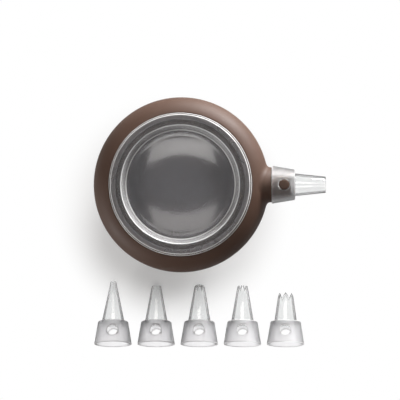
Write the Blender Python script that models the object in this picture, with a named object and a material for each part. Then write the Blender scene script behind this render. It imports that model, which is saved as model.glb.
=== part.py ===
"""Cake decorating syringe: a squeezable silicone bulb with a clear screw lid and a neck with two lock buttons,
one nozzle locked on the neck, and five spare nozzles lying in front.

Everything is in metres, with +Z up. The origin is the centre of the flat that the bulb stands on, and the neck
points along +X. Run it with: blender --background --python part.py
"""

import math

import bmesh
import bpy
from mathutils import Matrix, Vector

# Gaps and cuts that the whole object shares
FIT_GAP = 0.0003  # between two pieces that touch
CUT_OVERRUN = 0.003  # how far a cutter runs past the face that it opens
WELD = 0.000001  # points this close are one point

# Silicone bulb
BULB_RADIUS = 0.062
BULB_DEPTH = 0.052  # from the stand flat up to the widest ring, where the neck's axis lies
STAND_RADIUS = 0.024
SHOULDER_WIDTH = 0.0107  # how much smaller the lip's radius is than the bulb's
SHOULDER_REACH = 0.016  # half axis of the shoulder's ellipse, along the radius
SHOULDER_ABOVE_NECK = 0.0036  # how far the shoulder's ellipse rises past the neck's top
DOME_WALL = 0.0026
SHOULDER_WALL = 0.0028
LIP_LAND = 0.0007  # flat of the lip that shows outside the ring's rim
LIP_ROUNDING = 0.0006
LIP_SKIRT_DEPTH = 0.0056
LIP_SKIRT_WALL = 0.0026

# Mouth ring
RIM_OVERHANG = 0.0015  # rim past the ring's barrel
RIM_THICKNESS = 0.0014
RIM_ROUNDING = 0.0004
RING_WALL = 0.0015
BEAD_OVERHANG = 0.0013
BEAD_HEIGHT = 0.0014

# Quick thread of the lid: sloping lugs on the lid's skirt, each under one of the mouth ring's
LUG_COUNT = 3
LUG_LEAD = 0.024  # rise in a full turn
LUG_HEIGHT = 0.0015  # along the radius
LUG_THICKNESS = 0.0018
LUG_DROP = 0.0008  # highest lug below the ring's top
LUG_PLAY = 0.0004  # along the radius, from a lug's edge to the wall that it passes
LUG_ARC = math.radians(55)
LUG_START = math.radians(3)  # low end of the first lug, seen from above, from +X
LUG_END_SHARE = 0.45  # thickness left at a lug's tapered ends
LUG_ROOT = 0.0005  # how far a lug is sunk into its wall

# Lid
FLANGE_BELOW_RIM = 0.0011  # how much smaller the flange's radius is than the rim's
FLANGE_THICKNESS = 0.0024
FLANGE_ROUNDING = 0.0006
SKIRT_WALL = 0.0016
SKIRT_BELOW_LUG = 0.0008
LID_WALL = 0.0018
RECESS_BORDER = 0.0077  # from the flange's edge to the recess
RECESS_DEPTH = 0.008
RECESS_RUN = 0.003  # how far the recess's wall leans in
RECESS_ROUNDING = 0.0008
DISH_BORDER = 0.0034  # from the recess's wall to the crowned floor
DISH_RISE = 0.0035
DISH_POWER = 3.2  # 2 is the even curve of a ball, and more is flatter in the middle and steeper at the edge

# Lid seal
SEAL_WIDTH = 0.0032
SEAL_THICKNESS = 0.0014

# Nozzle collar
COLLAR_BASE_RADIUS = 0.0134
COLLAR_END_RADIUS = 0.0107
COLLAR_LENGTH = 0.0164
COLLAR_WALL = 0.0012
COLLAR_END_WALL = 0.0012
COLLAR_ROUNDING = 0.0012
COLLAR_OPENING = 0.00825  # radius of the hole that the tip passes
NECK_REACH = 0.0023  # collar's base past the bulb's widest ring

# Lock buttons, one on top of the neck and one under it
BUTTON_RADIUS = 0.0035
BUTTON_STATION = 0.0088  # from the collar's base, along the neck
BUTTON_PROUD = 0.0003
BUTTON_SEAT = 0.0009  # length of the button inside its pocket
BUTTON_ROUNDING = 0.0005
BUTTON_HOLE_PLAY = 0.0004
POCKET_WEB = 0.0011  # silicone left between the pocket and the bore

# Neck
NECK_STEP = 0.00055  # neck past the spigot, where the collar's base stops
NECK_FILLET = 0.0024  # over and under the neck, and along it
NECK_SIDE_FILLET = 0.0038  # beside the neck
NECK_SINK = 0.0012  # how deep the fillet's edge starts inside the bulb
NECK_BORE_WIDENING = 0.0022  # neck's bore past the spigot's bore, along the radius
NECK_BORE_TAPER = 0.003

# Nozzle tips. Each length is from the collar's base, and each end radius is the outer one.
TIP_FLANGE_THICKNESS = 0.0011
TIP_WALL = 0.001
TIP_SHANK = 0.0006  # straight length past the collar's end
FITTED_LENGTH = 0.038
FITTED_END_RADIUS = 0.0057
FINE_LENGTH = 0.0453
FINE_END_RADIUS = 0.0019
ROUND_LENGTH = 0.042
ROUND_END_RADIUS = 0.0032
CLOSED_STAR_LENGTH = 0.0431
CLOSED_STAR_END_RADIUS = 0.0039
CLOSED_STAR_NOSE = 0.003  # height of the rounded nose
CLOSED_STAR_OPENING = 0.0009  # radius of the hole in the nose
CLOSED_STAR_SLOT_DEPTH = 0.0046
CLOSED_STAR_SLOT_WIDTH = 0.0013
OPEN_STAR_LENGTH = 0.042
OPEN_STAR_END_RADIUS = 0.0036
OPEN_STAR_SLOT_DEPTH = 0.0032
OPEN_STAR_SLOT_WIDTH = 0.002
CROWN_LENGTH = 0.037
CROWN_END_RADIUS = 0.0051
CROWN_TOOTH_DEPTH = 0.0046
CROWN_NOTCH_OVERLAP = 0.0001  # neighbouring notches overlap by this, which makes the teeth pointed
STAR_POINTS = 6

# Row of spare nozzles
ROW_CLEARANCE = 0.0058  # from the bulb to the longest spare
ROW_SHIFT = 0.0114  # middle of the row, along +X
SPARE_GAP = 0.004  # between the collars of two neighbours

# Facets
BULB_SEGMENTS = 48
NECK_SEGMENTS = 24
BUTTON_SEGMENTS = 18
DOME_STEPS = 9
SHOULDER_STEPS = 6
HOLLOW_DOME_STEPS = 7
HOLLOW_SHOULDER_STEPS = 4
CROWN_STEPS = 6
NOSE_STEPS = 3
FILLET_STEPS = 4
CORNER_STEPS = 2
LUG_STEPS = 7

FULL_TURN = math.radians(360)

# Radii of the mouth, from the outside in
lip_radius = BULB_RADIUS - SHOULDER_WIDTH
rim_radius = lip_radius - LIP_LAND
barrel_radius = rim_radius - RIM_OVERHANG
ring_bore = barrel_radius - RING_WALL
bead_radius = barrel_radius + BEAD_OVERHANG
lip_bore = barrel_radius + FIT_GAP
ring_lug_radius = ring_bore - LUG_HEIGHT
lid_lug_radius = ring_bore - LUG_PLAY
skirt_radius = lid_lug_radius - LUG_HEIGHT
skirt_bore = skirt_radius - SKIRT_WALL
seal_bore = skirt_radius + FIT_GAP
flange_radius = rim_radius - FLANGE_BELOW_RIM
recess_top = flange_radius - RECESS_BORDER
recess_bottom = recess_top - RECESS_RUN

# Collar, spigot and buttons, as radii at a distance from the collar's base
collar_taper = (COLLAR_BASE_RADIUS - COLLAR_END_RADIUS) / COLLAR_LENGTH


def collar_outside(station):
    return COLLAR_BASE_RADIUS - collar_taper * station


def collar_inside(station):
    return collar_outside(station) - COLLAR_WALL


def spigot_outside(station):
    return collar_inside(station) - FIT_GAP


end_wall_station = COLLAR_LENGTH - COLLAR_END_WALL
tip_flange_station = end_wall_station - FIT_GAP - TIP_FLANGE_THICKNESS
spigot_length = tip_flange_station - FIT_GAP
neck_radius = spigot_outside(0) + NECK_STEP
button_travel = COLLAR_WALL + FIT_GAP + BUTTON_PROUD
button_top = collar_outside(BUTTON_STATION) + BUTTON_PROUD
button_bottom = spigot_outside(BUTTON_STATION) - BUTTON_SEAT
pocket_floor = button_bottom - button_travel - FIT_GAP
bore_radius = pocket_floor - POCKET_WEB
neck_bore = bore_radius + NECK_BORE_WIDENING

# Heights above the stand
neck_height = BULB_DEPTH
shoulder_rise = neck_radius + SHOULDER_ABOVE_NECK
shoulder_centre = BULB_RADIUS - SHOULDER_REACH
lip_share = (lip_radius - shoulder_centre) / SHOULDER_REACH
lip_height = BULB_DEPTH + shoulder_rise * math.sqrt(1 - lip_share**2)
dome_drop = BULB_DEPTH / math.sqrt(1 - (STAND_RADIUS / BULB_RADIUS) ** 2)
ring_top = lip_height + FIT_GAP + RIM_THICKNESS
ring_bottom = lip_height - LIP_SKIRT_DEPTH - FIT_GAP - BEAD_HEIGHT
lug_rise = LUG_LEAD * LUG_ARC / FULL_TURN
ring_lug_low = ring_top - LUG_DROP - lug_rise - LUG_THICKNESS
lid_lug_low = ring_lug_low - FIT_GAP - LUG_THICKNESS
skirt_bottom = lid_lug_low - SKIRT_BELOW_LUG
seal_bottom = ring_top + FIT_GAP
flange_bottom = seal_bottom + SEAL_THICKNESS + FIT_GAP
lid_top = flange_bottom + FLANGE_THICKNESS
recess_floor = lid_top - RECESS_DEPTH

# Where the fitted nozzle and the row of spares stand
collar_base = BULB_RADIUS + NECK_REACH
lying_angle = math.atan(collar_taper)
longest_nozzle = max(FINE_LENGTH, ROUND_LENGTH, CLOSED_STAR_LENGTH, OPEN_STAR_LENGTH, CROWN_LENGTH)
row_front = -(BULB_RADIUS + ROW_CLEARANCE + longest_nozzle)
row_pitch = 2 * COLLAR_BASE_RADIUS + SPARE_GAP


def clear_scene():
    for obj in list(bpy.data.objects):
        bpy.data.objects.remove(obj, do_unlink=True)


def material(name, colour, roughness, transmission=0.0):
    made = bpy.data.materials.new(name)
    made.use_nodes = True
    surface = made.node_tree.nodes["Principled BSDF"]
    surface.inputs["Base Color"].default_value = (*colour, 1.0)
    surface.inputs["Roughness"].default_value = roughness
    surface.inputs["Metallic"].default_value = 0.0
    surface.inputs["Transmission Weight"].default_value = transmission
    made.diffuse_color = (*colour, 1.0)
    return made


def rounded(corners, steps=CORNER_STEPS):
    """An outline through corners (radius, height), with an arc at each one that also has a rounding radius."""
    outline = []
    for index, corner in enumerate(corners):
        here = Vector(corner[:2])
        if len(corner) == 2:
            outline.append(tuple(here))
            continue
        before = (Vector(corners[index - 1][:2]) - here).normalized()
        after = (Vector(corners[(index + 1) % len(corners)][:2]) - here).normalized()
        half = before.angle(after) / 2
        reach = corner[2] / math.tan(half)
        centre = here + (before + after).normalized() * corner[2] / math.sin(half)
        start, end = here + before * reach - centre, here + after * reach - centre
        sweep = start.angle_signed(end)
        for step in range(steps + 1):
            turned = Matrix.Rotation(-sweep * step / steps, 2) @ start
            outline.append(tuple(centre + turned))
    return outline


def ellipse(centre, half_axes, start, end, steps):
    """Points (radius, height) along an ellipse, with both angles taken from the radius's direction."""
    points = []
    for step in range(steps + 1):
        angle = start + (end - start) * step / steps
        radius = centre[0] + half_axes[0] * math.cos(angle)
        height = centre[1] + half_axes[1] * math.sin(angle)
        points.append((max(radius, 0.0), height))
    return points


def revolve(outline, segments, closed=True):
    """A mesh turned about Z from an outline of (radius, height). An open one starts and ends on the axis."""
    turned = bmesh.new()
    points = [turned.verts.new((radius, 0.0, height)) for radius, height in outline]
    pairs = list(zip(points, points[1:]))
    if closed:
        pairs.append((points[-1], points[0]))
    edges = [turned.edges.new(pair) for pair in pairs]
    outline = points + edges
    centre, axis = (0.0, 0.0, 0.0), (0.0, 0.0, 1.0)
    bmesh.ops.spin(turned, geom=outline, cent=centre, axis=axis, angle=FULL_TURN, steps=segments, use_merge=True)
    bmesh.ops.remove_doubles(turned, verts=turned.verts, dist=WELD)
    bmesh.ops.recalc_face_normals(turned, faces=turned.faces)
    return turned


def loft(rings):
    """A closed mesh through rings of points, with a flat or fanned cap on the first and on the last."""
    skin = bmesh.new()
    loops = [[skin.verts.new(point) for point in ring] for ring in rings]
    for near, far in zip(loops, loops[1:]):
        for index in range(len(near)):
            following = (index + 1) % len(near)
            skin.faces.new((near[index], near[following], far[following], far[index]))
    for loop in (loops[0], loops[-1]):
        middle = skin.verts.new(sum((vert.co for vert in loop), Vector()) / len(loop))
        for index, vert in enumerate(loop):
            skin.faces.new((vert, loop[(index + 1) % len(loop)], middle))
    bmesh.ops.recalc_face_normals(skin, faces=skin.faces)
    return skin


def as_object(name, shape):
    mesh = bpy.data.meshes.new(name)
    shape.to_mesh(mesh)
    shape.free()
    obj = bpy.data.objects.new(name, mesh)
    bpy.context.scene.collection.objects.link(obj)
    return obj


def changed(base, operation, other):
    """The mesh of an object after one Boolean with a shape, with points that fall together made one."""
    helper = as_object(base.name + "_tool", other)
    change = base.modifiers.new(operation.lower(), "BOOLEAN")
    change.operation = operation
    change.object = helper
    bpy.context.view_layer.update()
    mesh = bpy.data.meshes.new_from_object(base.evaluated_get(bpy.context.evaluated_depsgraph_get()))
    base.modifiers.remove(change)
    bpy.data.objects.remove(helper, do_unlink=True)
    clean = bmesh.new()
    clean.from_mesh(mesh)
    bmesh.ops.remove_doubles(clean, verts=clean.verts, dist=WELD)
    bmesh.ops.dissolve_degenerate(clean, edges=clean.edges, dist=WELD)
    clean.to_mesh(mesh)
    clean.free()
    return mesh


def combined(name, shape, joined=(), cut=()):
    """The mesh of a shape with the joined shapes added and then the cut ones taken away."""
    base = as_object(name, shape)
    for other in joined:
        base.data = changed(base, "UNION", other)
    for other in cut:
        base.data = changed(base, "DIFFERENCE", other)
    mesh = base.data
    mesh.name = name
    bpy.data.objects.remove(base, do_unlink=True)
    return mesh


def piece(name, mesh, finish, parent=None, place=None, sharp_from=math.radians(35)):
    """One named sub-part, shaded smooth, at its own place or else where its parent empty stands."""
    obj = bpy.data.objects.new(name, mesh)
    bpy.context.scene.collection.objects.link(obj)
    mesh.shade_smooth()
    mesh.set_sharp_from_angle(angle=sharp_from)
    mesh.materials.clear()
    mesh.materials.append(finish)
    obj.parent = parent
    if place is not None:
        obj.matrix_local = place
    return obj


def joint_empty(name, place):
    empty = bpy.data.objects.new(name, None)
    bpy.context.scene.collection.objects.link(empty)
    empty.empty_display_size = BUTTON_RADIUS
    empty.matrix_world = place
    return empty


def bulb_outside(height):
    """Radius of the bulb's outer face at a height above the widest ring. Below the ring it is negative."""
    if height < 0:
        return BULB_RADIUS * math.sqrt(1 - (height / dome_drop) ** 2)
    return shoulder_centre + SHOULDER_REACH * math.sqrt(1 - (height / shoulder_rise) ** 2)


def bulb_body():
    """The bulb's outer form as one solid: flat stand, dome, shoulder and lip."""
    stand_angle = -math.asin(BULB_DEPTH / dome_drop)
    lip_angle = math.acos(lip_share)
    outline = [(0.0, 0.0)]
    outline += ellipse((0.0, BULB_DEPTH), (BULB_RADIUS, dome_drop), stand_angle, 0.0, DOME_STEPS)
    shoulder = ellipse(
        (shoulder_centre, BULB_DEPTH), (SHOULDER_REACH, shoulder_rise), 0.0, lip_angle, SHOULDER_STEPS
    )
    outline += shoulder[1:-1]
    outline += rounded([shoulder[-2], (*shoulder[-1], LIP_ROUNDING), (0.0, lip_height)])[1:]
    return revolve(outline, BULB_SEGMENTS, closed=False)


def bulb_hollow():
    """The space inside the bulb, with the lip's skirt left standing in it, up through the mouth."""
    shoulder_axes = (SHOULDER_REACH - SHOULDER_WALL, shoulder_rise - SHOULDER_WALL)
    skirt_outside = lip_bore + LIP_SKIRT_WALL
    pocket_angle = math.acos((skirt_outside - shoulder_centre) / shoulder_axes[0])
    dome_axes = (BULB_RADIUS - SHOULDER_WALL, dome_drop - DOME_WALL)
    floor_angle = -math.asin((BULB_DEPTH - DOME_WALL) / dome_axes[1])
    skirt_foot = lip_height - LIP_SKIRT_DEPTH
    outline = [(0.0, DOME_WALL)]
    outline += ellipse((0.0, BULB_DEPTH), dome_axes, floor_angle, 0.0, HOLLOW_DOME_STEPS)
    shoulder_start = (shoulder_centre, BULB_DEPTH)
    outline += ellipse(shoulder_start, shoulder_axes, 0.0, pocket_angle, HOLLOW_SHOULDER_STEPS)[1:]
    outline += [(skirt_outside, skirt_foot), (lip_bore, skirt_foot)]
    outline += [(lip_bore, lip_height + CUT_OVERRUN), (0.0, lip_height + CUT_OVERRUN)]
    return revolve(outline, BULB_SEGMENTS, closed=False)


def neck_body():
    """Neck and spigot along +X. The neck leaves the bulb in a fillet that follows the bulb's face."""
    directions = [
        Vector((0.0, math.cos(turn), math.sin(turn)))
        for turn in (FULL_TURN * step / NECK_SEGMENTS for step in range(NECK_SEGMENTS))
    ]

    def spread(direction, fillet_share):
        """How far out of the neck's axis a direction's point lies, sideways and up, at a share of the fillet."""
        side = direction.y * (neck_radius + fillet_share * NECK_SIDE_FILLET)
        height = direction.z * (neck_radius + fillet_share * NECK_FILLET)
        return side, height

    def on_bulb(direction, fillet_share):
        side, height = spread(direction, fillet_share)
        return math.sqrt(bulb_outside(height) ** 2 - side**2)

    def fillet_ring(stations, fillet_share):
        places = [spread(direction, fillet_share) for direction in directions]
        return [Vector((station, side, neck_height + height)) for station, (side, height) in zip(stations, places)]

    def ring(station, radius):
        return [
            Vector((station, direction.y * radius, neck_height + direction.z * radius)) for direction in directions
        ]

    edge = [on_bulb(direction, 1) for direction in directions]
    corner = [on_bulb(direction, 0) for direction in directions]
    rings = [fillet_ring([station - NECK_SINK for station in edge], 1)]
    for step in range(FILLET_STEPS + 1):
        # A quadratic curve from the bulb's face, by way of the corner, to the neck's side
        share = step / FILLET_STEPS
        first, second, third = (1 - share) ** 2, 2 * share * (1 - share), share**2
        stations = [
            first * start + second * middle + third * (middle + NECK_FILLET)
            for start, middle in zip(edge, corner)
        ]
        rings.append(fillet_ring(stations, first))
    shoulder = collar_base - FIT_GAP
    for station, radius in (
        (shoulder, neck_radius),
        (shoulder, spigot_outside(-FIT_GAP)),
        (collar_base + spigot_length, spigot_outside(spigot_length)),
    ):
        rings.append(ring(station, radius))
    return loft(rings)


def along_neck(shape):
    """Lays a shape made along +Z from the collar's base along the neck, with its +X side up."""
    bmesh.ops.transform(shape, matrix=neck_place, verts=shape.verts)
    return shape


def neck_bore_cutter():
    start = -(NECK_REACH + SHOULDER_REACH)
    taper_end = BUTTON_STATION - BUTTON_RADIUS - FIT_GAP
    outline = [
        (0.0, start),
        (neck_bore, start),
        (neck_bore, taper_end - NECK_BORE_TAPER),
        (bore_radius, taper_end),
        (bore_radius, spigot_length + CUT_OVERRUN),
        (0.0, spigot_length + CUT_OVERRUN),
    ]
    return along_neck(revolve(outline, NECK_SEGMENTS, closed=False))


def pocket_cutter(side):
    """The pocket that a lock button slides in. The side is 1 on top of the neck and -1 under it."""
    radius = BUTTON_RADIUS + FIT_GAP
    outline = [(0.0, pocket_floor), (radius, pocket_floor)]
    outline += [(radius, button_top + CUT_OVERRUN), (0.0, button_top + CUT_OVERRUN)]
    pocket = revolve(outline, BUTTON_SEGMENTS, closed=False)
    bmesh.ops.transform(pocket, matrix=button_place(side), verts=pocket.verts)
    return pocket


def lug(inner, outer, low, start):
    """A lug that climbs about Z like a stretch of thread from the height of its low end, with tapered ends."""
    rings = []
    for step in range(LUG_STEPS + 1):
        share = step / LUG_STEPS
        around = Matrix.Rotation(start + LUG_ARC * share, 3, "Z")
        middle = low + lug_rise * share + LUG_THICKNESS / 2
        half = LUG_THICKNESS / 2
        if step in (0, LUG_STEPS):
            half *= LUG_END_SHARE
        under, over = middle - half, middle + half
        corners = ((inner, under), (outer, under), (outer, over), (inner, over))
        rings.append([around @ Vector((radius, 0.0, height)) for radius, height in corners])
    return loft(rings)


def lugs(inner, outer, low):
    starts = [LUG_START + FULL_TURN * index / LUG_COUNT for index in range(LUG_COUNT)]
    return [lug(inner, outer, low, start) for start in starts]


def mouth_ring_mesh():
    """Rigid ring that grips the silicone lip between its rim and its bead, with the inward lugs."""
    section = [
        (ring_bore, ring_bottom),
        (bead_radius, ring_bottom),
        (bead_radius, ring_bottom + BEAD_HEIGHT),
        (barrel_radius, ring_bottom + BEAD_HEIGHT),
        (barrel_radius, ring_top - RIM_THICKNESS),
        (rim_radius, ring_top - RIM_THICKNESS),
        (rim_radius, ring_top, RIM_ROUNDING),
        (ring_bore, ring_top),
    ]
    inward = lugs(ring_lug_radius, ring_bore + LUG_ROOT, ring_lug_low)
    return combined("mouth_ring", revolve(rounded(section), BULB_SEGMENTS), joined=inward)


def lid_mesh():
    """Clear lid: a flange over the ring, a skirt with the outward lugs, and a recess with a crowned floor."""
    dish_radius = recess_bottom - DISH_BORDER
    shares = [step / CROWN_STEPS for step in range(CROWN_STEPS + 1)]
    top_of_crown = [
        (dish_radius * share, recess_floor + DISH_RISE * (1 - share**DISH_POWER)) for share in shares
    ]
    under_crown = [(radius, height - LID_WALL) for radius, height in reversed(top_of_crown)]
    channel_top = recess_top + LID_WALL - RECESS_RUN * FLANGE_THICKNESS / RECESS_DEPTH
    section = rounded(
        [
            top_of_crown[-1],
            (recess_bottom, recess_floor, RECESS_ROUNDING),
            (recess_top, lid_top, RECESS_ROUNDING),
            (flange_radius, lid_top, FLANGE_ROUNDING),
            (flange_radius, flange_bottom),
            (skirt_radius, flange_bottom),
            (skirt_radius, skirt_bottom),
            (skirt_bore, skirt_bottom),
            (skirt_bore, flange_bottom),
            (channel_top, flange_bottom),
            (recess_bottom + LID_WALL, recess_floor - LID_WALL, RECESS_ROUNDING),
            under_crown[0],
        ]
    )
    outline = top_of_crown[:-1] + section + under_crown[1:]
    outward = lugs(skirt_radius - LUG_ROOT, lid_lug_radius, lid_lug_low)
    return combined("lid", revolve(outline, BULB_SEGMENTS, closed=False), joined=outward)


def seal_mesh():
    """Flat gasket round the lid's skirt, between its flange and the ring's rim."""
    top = seal_bottom + SEAL_THICKNESS
    outer = seal_bore + SEAL_WIDTH
    section = [(seal_bore, seal_bottom), (outer, seal_bottom), (outer, top), (seal_bore, top)]
    return combined("lid_seal", revolve(section, BULB_SEGMENTS))


def button_place(side):
    """Where a lock button's axis lies: out of the neck at its station, up for side 1 and down for side -1."""
    turn = Matrix.Identity(4) if side > 0 else Matrix.Rotation(math.radians(180), 4, "X")
    return Matrix.Translation((collar_base + BUTTON_STATION, 0.0, neck_height)) @ turn


def button_mesh():
    """Lock button, along +Z from the neck's axis."""
    edge = (BUTTON_RADIUS, button_top, BUTTON_ROUNDING)
    outline = rounded([(0.0, button_bottom), (BUTTON_RADIUS, button_bottom), edge, (0.0, button_top)])
    return combined("lock_button", revolve(outline, BUTTON_SEGMENTS, closed=False))


def collar_mesh():
    """Tapered collar along +Z from its base, with a lock hole on each side."""
    section = [
        (collar_inside(0), 0.0),
        (COLLAR_BASE_RADIUS, 0.0),
        (COLLAR_END_RADIUS, COLLAR_LENGTH, COLLAR_ROUNDING),
        (COLLAR_OPENING, COLLAR_LENGTH),
        (COLLAR_OPENING, end_wall_station),
        (collar_inside(end_wall_station), end_wall_station),
    ]
    hole = bmesh.new()
    reach = COLLAR_BASE_RADIUS + CUT_OVERRUN
    radius = BUTTON_RADIUS + BUTTON_HOLE_PLAY
    bmesh.ops.create_cone(
        hole, cap_ends=True, segments=BUTTON_SEGMENTS, radius1=radius, radius2=radius, depth=2 * reach
    )
    across = Matrix.Translation((0.0, 0.0, BUTTON_STATION)) @ Matrix.Rotation(math.radians(90), 4, "Y")
    bmesh.ops.transform(hole, matrix=across, verts=hole.verts)
    return combined("nozzle_collar", revolve(rounded(section), NECK_SEGMENTS), cut=[hole])


def tip_section(length, end_radius, nose=0.0, opening=0.0):
    """Outline of a nozzle tip along +Z: its flange inside the collar, its cone, and its blunt or rounded end."""
    shank = COLLAR_OPENING - FIT_GAP
    flange = collar_inside(end_wall_station) - FIT_GAP
    flange_end = end_wall_station - FIT_GAP
    cone_start = COLLAR_LENGTH + TIP_SHANK
    cone_end = length - nose
    outside = [(flange, tip_flange_station), (flange, flange_end), (shank, flange_end), (shank, cone_start)]
    inside = [(shank - TIP_WALL, tip_flange_station), (shank - TIP_WALL, cone_start)]
    if nose:
        middle = (opening, cone_end)
        outer_axes = (end_radius - opening, nose)
        inner_axes = (outer_axes[0] - TIP_WALL, nose - TIP_WALL)
        outside += ellipse(middle, outer_axes, 0.0, math.radians(90), NOSE_STEPS)
        inside += ellipse(middle, inner_axes, 0.0, math.radians(90), NOSE_STEPS)
    else:
        outside.append((end_radius, cone_end))
        inside.append((end_radius - TIP_WALL, cone_end))
    return outside + inside[::-1]


def notch_cutter(turn, length, radius, depth, width):
    """A V-shaped bar across the end of a tip, which cuts two opposite notches of a depth and an end width."""
    reach = radius + CUT_OVERRUN
    top = length + CUT_OVERRUN
    spread = width / 2 * (depth + CUT_OVERRUN) / depth
    corners = [(0.0, length - depth), (spread, top), (-spread, top)]
    rings = [[Vector((side * reach, across, height)) for across, height in corners] for side in (-1, 1)]
    bar = loft(rings)
    bmesh.ops.rotate(bar, verts=bar.verts, cent=(0, 0, 0), matrix=Matrix.Rotation(turn, 3, "Z"))
    return bar


def tip_mesh(section, notch=None):
    """A tip turned from its section, with a notch between each two points of its star where it has one."""
    bars = []
    if notch:
        for index in range(STAR_POINTS // 2):
            # Half a facet past the star's own angle, so that no notch runs along an edge of the tip
            turn = FULL_TURN * ((index + 1 / 2) / STAR_POINTS + 1 / (2 * NECK_SEGMENTS))
            bars.append(notch_cutter(turn, *notch))
    return combined("nozzle_tip", revolve(section, NECK_SEGMENTS), cut=bars)


def fitted_tip():
    return tip_mesh(tip_section(FITTED_LENGTH, FITTED_END_RADIUS))


def fine_tip():
    return tip_mesh(tip_section(FINE_LENGTH, FINE_END_RADIUS))


def round_tip():
    return tip_mesh(tip_section(ROUND_LENGTH, ROUND_END_RADIUS))


def closed_star_tip():
    section = tip_section(CLOSED_STAR_LENGTH, CLOSED_STAR_END_RADIUS, CLOSED_STAR_NOSE, CLOSED_STAR_OPENING)
    slot = (CLOSED_STAR_LENGTH, CLOSED_STAR_END_RADIUS, CLOSED_STAR_SLOT_DEPTH, CLOSED_STAR_SLOT_WIDTH)
    return tip_mesh(section, slot)


def open_star_tip():
    slot = (OPEN_STAR_LENGTH, OPEN_STAR_END_RADIUS, OPEN_STAR_SLOT_DEPTH, OPEN_STAR_SLOT_WIDTH)
    return tip_mesh(tip_section(OPEN_STAR_LENGTH, OPEN_STAR_END_RADIUS), slot)


def crown_tip():
    width = CROWN_END_RADIUS * FULL_TURN / STAR_POINTS + CROWN_NOTCH_OVERLAP
    notch = (CROWN_LENGTH, CROWN_END_RADIUS, CROWN_TOOTH_DEPTH, width)
    return tip_mesh(tip_section(CROWN_LENGTH, CROWN_END_RADIUS), notch)


def nozzle(collar_name, collar, tip_name, tip, place, finishes):
    """A collar and its tip, parented to an empty at the centre of the collar's base."""
    empty = joint_empty(collar_name + "_base", place)
    piece(collar_name, collar, finishes["frosted"], parent=empty)
    piece(tip_name, tip, finishes["clear"], parent=empty)


def spare_place(index, count):
    """A spare lies on its collar's side with a lock hole up and its tip towards the bulb."""
    side = ROW_SHIFT + (index - (count - 1) / 2) * row_pitch
    height = COLLAR_BASE_RADIUS * math.cos(lying_angle)
    hole_up = Matrix.Rotation(math.radians(90), 4, "Z")
    lying = Matrix.Rotation(-math.radians(90) - lying_angle, 4, "X")
    return Matrix.Translation((side, row_front, height)) @ lying @ hole_up


neck_place = Matrix(
    (
        (0.0, 0.0, 1.0, collar_base),
        (0.0, -1.0, 0.0, 0.0),
        (1.0, 0.0, 0.0, neck_height),
        (0.0, 0.0, 0.0, 1.0),
    )
)


def main():
    clear_scene()
    finishes = {
        "silicone": material("brown_silicone", (0.108, 0.067, 0.052), 0.62),
        "clear": material("clear_plastic", (0.86, 0.87, 0.87), 0.06, transmission=0.9),
        "frosted": material("frosted_plastic", (0.72, 0.72, 0.73), 0.45, transmission=0.5),
        "seal": material("seal_silicone", (0.70, 0.70, 0.70), 0.5, transmission=0.3),
    }

    bulb = combined(
        "silicone_bulb",
        bulb_body(),
        joined=[neck_body()],
        cut=[bulb_hollow(), neck_bore_cutter(), pocket_cutter(1), pocket_cutter(-1)],
    )
    piece("silicone_bulb", bulb, finishes["silicone"])
    piece("mouth_ring", mouth_ring_mesh(), finishes["clear"])
    piece("lid_seal", seal_mesh(), finishes["seal"])
    piece("lid", lid_mesh(), finishes["clear"])

    button = button_mesh()
    for name, side in (("lock_button_top", 1), ("lock_button_bottom", -1)):
        piece(name, button, finishes["silicone"], place=button_place(side))

    collar = collar_mesh()
    nozzle("fitted_collar", collar, "fitted_tip", fitted_tip(), neck_place, finishes)
    spares = {
        "fine": fine_tip(),
        "round": round_tip(),
        "closed_star": closed_star_tip(),
        "open_star": open_star_tip(),
        "crown": crown_tip(),
    }
    for index, (kind, tip) in enumerate(spares.items()):
        number = index + 1
        place = spare_place(index, len(spares))
        nozzle(f"spare_collar_{number}", collar, f"spare_tip_{number}_{kind}", tip, place, finishes)


main()
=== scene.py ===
# %% [markdown]
# Lesson: a cake decorating bulb and its nozzles.
#
# The object is a squeezable bulb of matte brown silicone. It has a clear screw lid, a short neck with one
# clear nozzle locked on it, and five spare nozzles that lie in a row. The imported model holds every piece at
# its real size and place, but with coarse facets. In this lesson each piece is modelled again in the same
# place with fine, smooth surfaces, gets its finish, and is lit and seen from straight above.

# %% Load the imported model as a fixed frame
import math

import bmesh
import bpy
from mathutils import Matrix, Vector


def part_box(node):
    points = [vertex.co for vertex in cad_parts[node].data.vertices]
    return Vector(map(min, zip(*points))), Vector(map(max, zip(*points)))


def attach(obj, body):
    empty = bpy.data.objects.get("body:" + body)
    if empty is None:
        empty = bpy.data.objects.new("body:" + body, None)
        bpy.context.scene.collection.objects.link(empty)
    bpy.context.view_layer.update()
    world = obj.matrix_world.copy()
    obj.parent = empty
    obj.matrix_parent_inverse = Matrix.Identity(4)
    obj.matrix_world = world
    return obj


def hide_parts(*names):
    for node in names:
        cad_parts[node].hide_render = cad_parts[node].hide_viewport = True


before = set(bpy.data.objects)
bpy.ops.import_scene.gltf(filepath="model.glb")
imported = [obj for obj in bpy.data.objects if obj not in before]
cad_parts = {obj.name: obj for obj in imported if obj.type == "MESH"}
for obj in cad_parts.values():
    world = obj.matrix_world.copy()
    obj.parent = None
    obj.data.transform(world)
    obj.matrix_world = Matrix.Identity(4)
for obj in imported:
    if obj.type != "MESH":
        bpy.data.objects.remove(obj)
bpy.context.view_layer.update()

# %% [markdown]
# Sizes come first. Whatever a box in the frame can tell is read from it, so that the fine pieces can't
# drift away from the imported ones. Walls and roundings can't be read from a box, so they are named here, in
# metres.

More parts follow.
